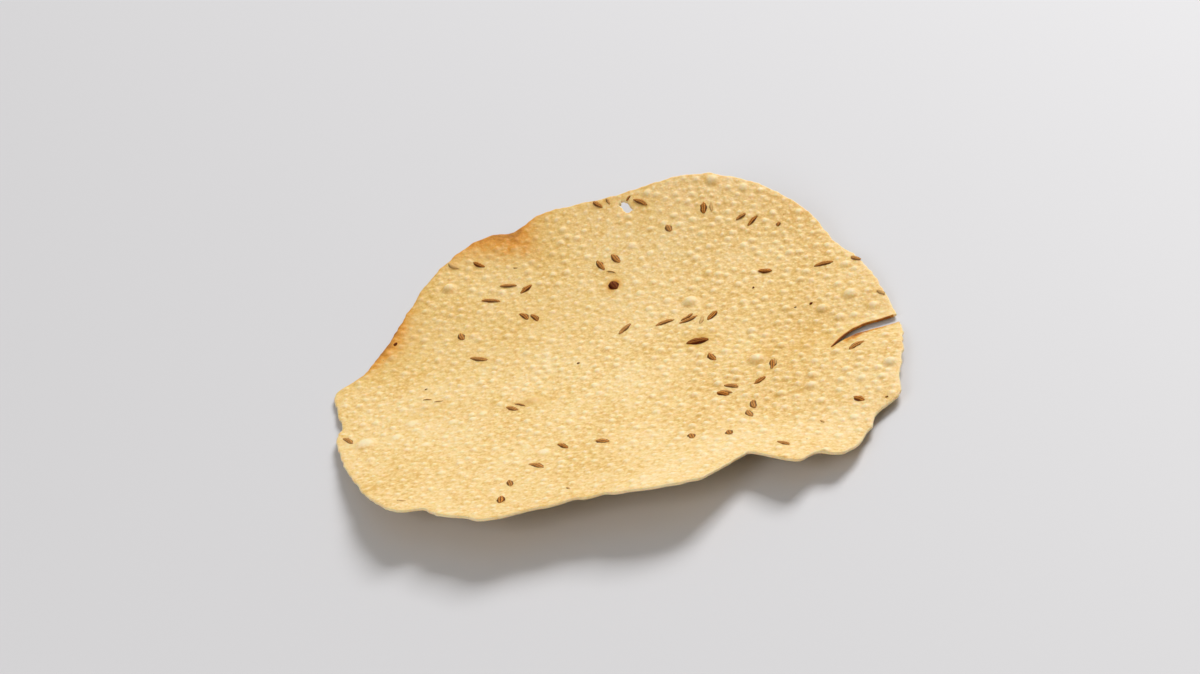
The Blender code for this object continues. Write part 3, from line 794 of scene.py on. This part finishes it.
def seedTree():
    # a ridged spindle along X, laid at each point and bent a little
    tree, given, add = newTree("cuminSpindles", {
        "Ridges": "Int", "Stations": "Int", "Ridge Depth": "Float", "Blunt": "Float", "Dent": "Float",
        "Dents per Metre": "Float", "Husk": "Material"})
    at = stored(add, ("heading", "pitch", "length", "width", "height", "bend", "along"))
    line = add("GeometryNodeCurvePrimitiveLine", {"Start": (-0.5, 0.0, 0.0), "End": (0.5, 0.0, 0.0)})
    line = add("GeometryNodeResampleCurve", {"Curve": line, "Count": given["Stations"]}, mode="COUNT")
    # the girth is the root of a sine, down to the blunt tips
    arc = add(mathNode, {0: add("GeometryNodeSplineParameter"), 1: math.pi}, operation="MULTIPLY")
    arc = add(mathNode, {0: arc}, operation="SINE")
    arc = add(mathNode, {0: arc, 1: 0.5}, operation="POWER")
    girth = add(mathNode, {0: arc, 1: given["Blunt"]}, operation="MAXIMUM")
    inner = add(mathNode, {0: 0.5, 1: given["Ridge Depth"]}, operation="SUBTRACT")
    star = add("GeometryNodeCurveStar",
               {"Points": given["Ridges"], "Inner Radius": inner, "Outer Radius": 0.5}, out=None)
    profile = add("GeometryNodeStoreNamedAttribute",
                  {"Geometry": star.outputs["Curve"], "Name": "ridge", "Value": star.outputs["Outer Points"]})
    grain = add("GeometryNodeCurveToMesh",
                {"Curve": line, "Profile Curve": profile, "Scale": girth, "Fill Caps": True})
    here = add("GeometryNodeInputPosition")
    local = add("ShaderNodeSeparateXYZ", {0: here}, out=None).outputs
    beside = add(mathNode, {0: local["Y"]}, operation="ABSOLUTE")
    beside = add(mathNode, {0: beside, 1: 2.0}, operation="MULTIPLY")
    for name, value in (("along", local["X"]), ("beside", beside)):
        grain = add("GeometryNodeStoreNamedAttribute", {"Geometry": grain, "Name": name, "Value": value})
    points = add("GeometryNodeMeshToPoints", {"Mesh": given["Geometry"]})
    turn = add("ShaderNodeCombineXYZ", {"Y": at["pitch"], "Z": at["heading"]})
    turn = add("FunctionNodeEulerToRotation", {"Euler": turn})
    size = add("ShaderNodeCombineXYZ", {"X": at["length"], "Y": at["width"], "Z": at["height"]})
    laid = add("GeometryNodeInstanceOnPoints",
               {"Points": points, "Instance": grain, "Rotation": turn, "Scale": size})
    laid = add("GeometryNodeRealizeInstances", {"Geometry": laid})
    # the bend pushes the tips sideways, by four times the square of a half
    push = add(mathNode, {0: at["along"], 1: at["along"]}, operation="MULTIPLY")
    for factor in (4.0, at["bend"]):
        push = add(mathNode, {0: push, 1: factor}, operation="MULTIPLY")
    sideX = add(mathNode, {0: at["heading"]}, operation="SINE")
    sideX = add(mathNode, {0: sideX, 1: -1.0}, operation="MULTIPLY")
    sideY = add(mathNode, {0: at["heading"]}, operation="COSINE")
    sideways = add("ShaderNodeCombineXYZ", {"X": sideX, "Y": sideY})
    bent = add(vectorNode, {0: sideways, "Scale": push}, operation="SCALE")
    laid = add("GeometryNodeSetPosition", {"Geometry": laid, "Offset": bent})
    dents = straying(add, here, given["Dents per Metre"], given["Dent"])
    laid = add("GeometryNodeSetPosition", {"Geometry": laid, "Offset": dents})
    laid = add("GeometryNodeSetShadeSmooth", {"Geometry": laid, "Shade Smooth": True})
    laid = add("GeometryNodeSetMaterial", {"Geometry": laid, "Material": given["Husk"]})
    add("NodeGroupOutput", {"Geometry": laid})
    return tree


def newMaterial(name):
    # an empty material, what adds nodes to it, and the place on the piece in its own coordinates
    material = bpy.data.materials.new(name)
    material.use_nodes = True
    material.node_tree.nodes.clear()
    add = partial(addNode, material.node_tree)
    return material, add, add("ShaderNodeTexCoord", out="Object")


def shaded(add, names):
    # the values kept at the points under these names, for a material
    return {name: add("ShaderNodeAttribute", out="Fac", attribute_name=name) for name in names}


dough = {
    # cream on the bubble tops is partly a painted highlight, and tan between them partly painted shade at
    # their feet
    "cream": "#FBE5B8",       # thin tops of the bubbles
    "gold": "#F2D08D",        # most of the sheet
    "tan": "#DCAE5B",         # between the bubbles
    "straw": "#DBB152",
    "toasted": "#E09C3C",
    "burnt": "#9C5A18",
    "paleStops": ((0.0, "tan"), (0.38, "gold"), (1.0, "cream")),
    "toastStops": ((0.22, "straw"), (0.6, "toasted"), (1.0, "burnt")),
    "topCurve": 2.2,          # more leaves the cream for the very tops
    "paler": {                # what makes it paler: from and to, and how much that adds at both
        "mottle": (0.3, 0.7, -0.26, 0.24),
        "coarse": (0.0, 1.0, 0.46, 0.2),
        "drift": (0.3, 0.7, -0.12, 0.16),
        "grain": (0.2, 0.75, 0.12, -0.14),
        # the thin rim is made paler: painted light that lifts the shade it lies in
        "face": (0.0, 1.0, 0.5, 0.0)},   # 0 on the thin rim
    "patchy": (0.25, 0.75, 1.3, 0.7),    # toasting starts between the bubbles
    "driftSize": 24.0,        # slow drift of colour over the sheet
    "mottleSize": 2.2,
    "mottleHeight": 0.05,
    "mottleBump": 0.6,
    "grainSize": 0.85,        # finest blisters
    "grainHeight": 0.05,
    "grainEdge": 0.8,
    "speckSize": 3.2,         # cells of this size, and the share of them with a dark speck
    "speckShare": 0.1,
    "speckRadius": 0.16,
    "speckSoft": 0.4,
    "speckDark": 0.75,
    "roughness": 0.56,
    "roughnessDrift": 0.08,
    "ior": 1.46,              # frying oil
    "sheen": 0.3,             # share of its mirror light, as most of the oil has soaked in
    "glow": 0.6,              # share of the light that goes into the dough and comes out warmer
    "glowDepth": 0.75,        # and how deep it goes
    "glowColour": (1.0, 0.64, 0.34),
}


def friedLentilDough():
    # lentil dough fried in oil: matt, pale and a little translucent where it puffed, tan where dense; its
    # pale bubble tops and tan gaps also carry painted highlight and painted shade
    material, add, place = newMaterial("friedLentilDough")
    at = shaded(add, ("top", "toast", "coarse", "side"))
    at["face"] = add(mathNode, {0: at["side"]}, operation="ABSOLUTE")
    at["drift"] = add("ShaderNodeTexNoise", {
        "Vector": place, "Scale": 1.0 / (dough["driftSize"] * mm), "Detail": 3.0})
    at["mottle"] = mottle = add("ShaderNodeTexNoise", {
        "Vector": place, "Scale": 1.0 / (dough["mottleSize"] * mm), "Detail": 4.0, "Roughness": 0.6})
    at["grain"] = add("ShaderNodeTexVoronoi", {"Vector": place, "Scale": 1.0 / (dough["grainSize"] * mm)})
    # tan on the flat, gold up the sides of a bubble, cream on its top: partly the dough's own colour, partly
    # painted highlight on the tops and painted shade at their feet
    pale = add(mathNode, {0: at["top"], 1: dough["topCurve"]}, operation="POWER")
    for name, (start, end, atStart, atEnd) in dough["paler"].items():
        more = add(rangeNode, {0: at[name], 1: start, 2: end, 3: atStart, 4: atEnd})
        pale = add(mathNode, {0: pale, 1: more}, operation="ADD")
    start, end, atStart, atEnd = dough["patchy"]
    patchy = add(rangeNode, {0: mottle, 1: start, 2: end, 3: atStart, 4: atEnd})
    toasting = add(mathNode, {0: patchy, 1: at["toast"]}, operation="MULTIPLY", use_clamp=True)
    colours = []
    for factor, stops in ((pale, dough["paleStops"]), (toasting, dough["toastStops"])):
        ramp = add("ShaderNodeValToRGB", {"Fac": factor}, out=None)
        ramp.color_ramp.elements.new(0.5)
        for element, (stop, name) in zip(ramp.color_ramp.elements, stops):
            element.position, element.color = stop, toLinear(dough[name])
        colours.append(ramp.outputs["Color"])
    much = add(rangeNode, {0: toasting, 1: 0.0, 2: dough["toastStops"][1][0], 3: 0.0, 4: 1.0})
    colour = add("ShaderNodeMix", {0: much, 6: colours[0], 7: colours[1]}, out=2, data_type="RGBA")
    # a few dark specks
    spots = add("ShaderNodeTexVoronoi", {"Vector": place, "Scale": 1.0 / (dough["speckSize"] * mm)}, out=None)
    some = add("ShaderNodeSeparateColor", {0: spots.outputs["Color"]})
    some = add(mathNode, {0: some, 1: 1.0 - dough["speckShare"]}, operation="GREATER_THAN")
    radius, soft = dough["speckRadius"] / dough["speckSize"], dough["speckSoft"]
    inside = add(rangeNode, {0: spots.outputs["Distance"], 1: radius * (1.0 - soft),
                             2: radius * (1.0 + soft), 3: dough["speckDark"], 4: 0.0})
    speck = add(mathNode, {0: some, 1: inside}, operation="MULTIPLY")
    colour = add("ShaderNodeMix", {0: speck, 6: colour, 7: toLinear(dough["burnt"])}, out=2, data_type="RGBA")
    cells = add(rangeNode, {0: at["grain"], 1: 0.0, 2: dough["grainEdge"], 3: 1.0, 4: 0.0})
    normal = add("ShaderNodeBump", {"Strength": 1.0, "Distance": dough["grainHeight"] * mm, "Height": cells})
    normal = add("ShaderNodeBump", {"Strength": dough["mottleBump"], "Distance": dough["mottleHeight"] * mm,
                                    "Height": mottle, "Normal": normal})
    rough, drift = dough["roughness"], dough["roughnessDrift"]
    gloss = add(rangeNode, {0: mottle, 1: 0.3, 2: 0.7, 3: rough + drift, 4: rough - drift})
    skin = add("ShaderNodeBsdfPrincipled", {
        "Base Color": colour, "Roughness": gloss, "Normal": normal, "IOR": dough["ior"],
        "Specular IOR Level": dough["sheen"], "Subsurface Weight": dough["glow"],
        "Subsurface Radius": dough["glowColour"], "Subsurface Scale": dough["glowDepth"] * mm})
    add("ShaderNodeOutputMaterial", {"Surface": skin})
    return material


husk = {
    "dark": "#561A04",        # in the grooves
    "ridge": "#E89A40",       # along the ridges
    "pale": "#E3BC7C",        # both, where a husk is hardly roasted
    "stripes": {              # what the ridges show by: from and to, and how much of them it leaves at both
        "ridge": (0.1, 0.4, 0.0, 1.0),
        "beside": (0.35, 0.75, 1.0, 0.1),
        "roast": (1.0, 1.5, 1.0, 0.2),
        "fibre": (0.35, 0.65, 0.35, 1.0)},
    "fibreSize": 0.35,
    "fibreHeight": 0.05,
    "fibreBump": 0.7,
    "roughness": 0.95,
    "ior": 1.5,               # dry plant fibre
    "sheen": 0.12,            # share of its mirror light, as dry fibre scatters the rest
}


def friedCuminHusk():
    # dry seed husk browned in oil: matt, dark in the grooves and straw-coloured along the ridges
    material, add, place = newMaterial("friedCuminHusk")
    at = shaded(add, ("ridge", "roast", "beside"))
    at["fibre"] = fibre = add("ShaderNodeTexNoise", {
        "Vector": place, "Scale": 1.0 / (husk["fibreSize"] * mm), "Detail": 3.0, "Roughness": 0.6})
    pale = toLinear(husk["pale"])
    groove, crest = (add("ShaderNodeMix", {0: at["roast"], 6: pale, 7: toLinear(husk[name])},
                         out=2, data_type="RGBA") for name in ("dark", "ridge"))
    stripe = 1.0
    for name, (start, end, atStart, atEnd) in husk["stripes"].items():
        share = add(rangeNode, {0: at[name], 1: start, 2: end, 3: atStart, 4: atEnd})
        stripe = add(mathNode, {0: stripe, 1: share}, operation="MULTIPLY")
    colour = add("ShaderNodeMix", {0: stripe, 6: groove, 7: crest}, out=2, data_type="RGBA")
    normal = add("ShaderNodeBump", {"Strength": husk["fibreBump"], "Distance": husk["fibreHeight"] * mm,
                                    "Height": fibre})
    skin = add("ShaderNodeBsdfPrincipled", {
        "Base Color": colour, "Normal": normal, "Roughness": husk["roughness"], "IOR": husk["ior"],
        "Specular IOR Level": husk["sheen"]})
    add("ShaderNodeOutputMaterial", {"Surface": skin})
    return material


spread = spreadBlisters()
rows = seedRows()
sheet = newPiece("wafer", waferMesh(spread, rows))
print("papadum: sheet laid out,", len(sheet.data.vertices), "points")
settings = {"Dough": friedLentilDough()}
for name, value in bubbles.items():
    settings[name] = value * mm if any(word in name for word in ("Radius", "Spacing", "Wobble")) else value
applyTree(sheet, bubbleTree(), settings)
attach(sheet, "root")
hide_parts("papadum")

cumin = newPiece("cuminSeeds", seedPoints(rows, spread))
applyTree(cumin, seedTree(), {
    "Ridges": seeds["ridges"], "Stations": seeds["stations"], "Ridge Depth": seeds["ridgeDepth"],
    "Blunt": seeds["blunt"], "Dent": seeds["dent"] * mm, "Dents per Metre": 1.0 / (seeds["dentSize"] * mm),
    "Husk": friedCuminHusk()})
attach(cumin, "root")

# The studio: a pale floor, a large soft lamp behind to the right, a weak one in front, pale surroundings
studio = {
    "floorSize": 6000.0,
    "floor": "#D6D6DA",
    "floorRoughness": 0.6,
    "lamps": (                # name, watts, size, place
        ("softLamp", 42.5, 900.0, (960.0, 1280.0, 1400.0)),
        ("frontLamp", 2.3, 450.0, (-520.0, -620.0, 520.0))),
    "fill": 0.3,              # strength of the surroundings
    "fillColour": "#FFFAF0",
}


def studioFloor():
    half = studio["floorSize"] / 2.0 * mm
    mesh = bpy.data.meshes.new("floor")
    corners = [(-half, -half, 0.0), (half, -half, 0.0), (half, half, 0.0), (-half, half, 0.0)]
    mesh.from_pydata(corners, [], [(0, 1, 2, 3)])
    material = bpy.data.materials.new("paleFloor")
    material.use_nodes = True
    skin = material.node_tree.nodes["Principled BSDF"]
    skin.inputs["Base Color"].default_value = toLinear(studio["floor"])
    skin.inputs["Roughness"].default_value = studio["floorRoughness"]
    mesh.materials.append(material)
    return newPiece("floor", mesh)


studioFloor()
for name, power, size, place in studio["lamps"]:
    lamp = bpy.data.lights.new(name, "AREA")
    lamp.energy, lamp.size = power, size * mm
    lampPiece = newPiece(name, lamp)
    lampPiece.location = Vector(place) * mm
    lampPiece.rotation_euler = (-Vector(place)).to_track_quat("-Z", "Y").to_euler()
world = bpy.data.worlds.new("surroundings")
bpy.context.scene.world = world
world.use_nodes = True
sky = world.node_tree.nodes["Background"]
sky.inputs["Color"].default_value = toLinear(studio["fillColour"])
sky.inputs["Strength"].default_value = studio["fill"]

# The camera looks down, and is rolled, as the wafer lies tilted in the picture
view = {"down": 31.0, "roll": 14.2, "distance": 838.0, "aim": (-2.6, 19.7, 0.0), "lens": 85.0, "sensor": 36.0}
down, roll = math.radians(view["down"]), math.radians(view["roll"])
forward = Vector((0.0, math.cos(down), -math.sin(down)))
right = Vector((1.0, 0.0, 0.0))
low = forward.cross(right)
cameraRight = math.cos(roll) * right + math.sin(roll) * low
cameraUp = math.sin(roll) * right - math.cos(roll) * low
camera = bpy.data.cameras.new("camera")
camera.lens, camera.sensor_width = view["lens"], view["sensor"]
cameraPiece = newPiece("camera", camera)
facing = Matrix((cameraRight, cameraUp, -forward)).transposed().to_4x4()
eye = (Vector(view["aim"]) - forward * view["distance"]) * mm
cameraPiece.matrix_world = Matrix.Translation(eye) @ facing
bpy.context.scene.camera = cameraPiece
bpy.context.scene.view_settings.view_transform = "Standard"
print("papadum: studio set")
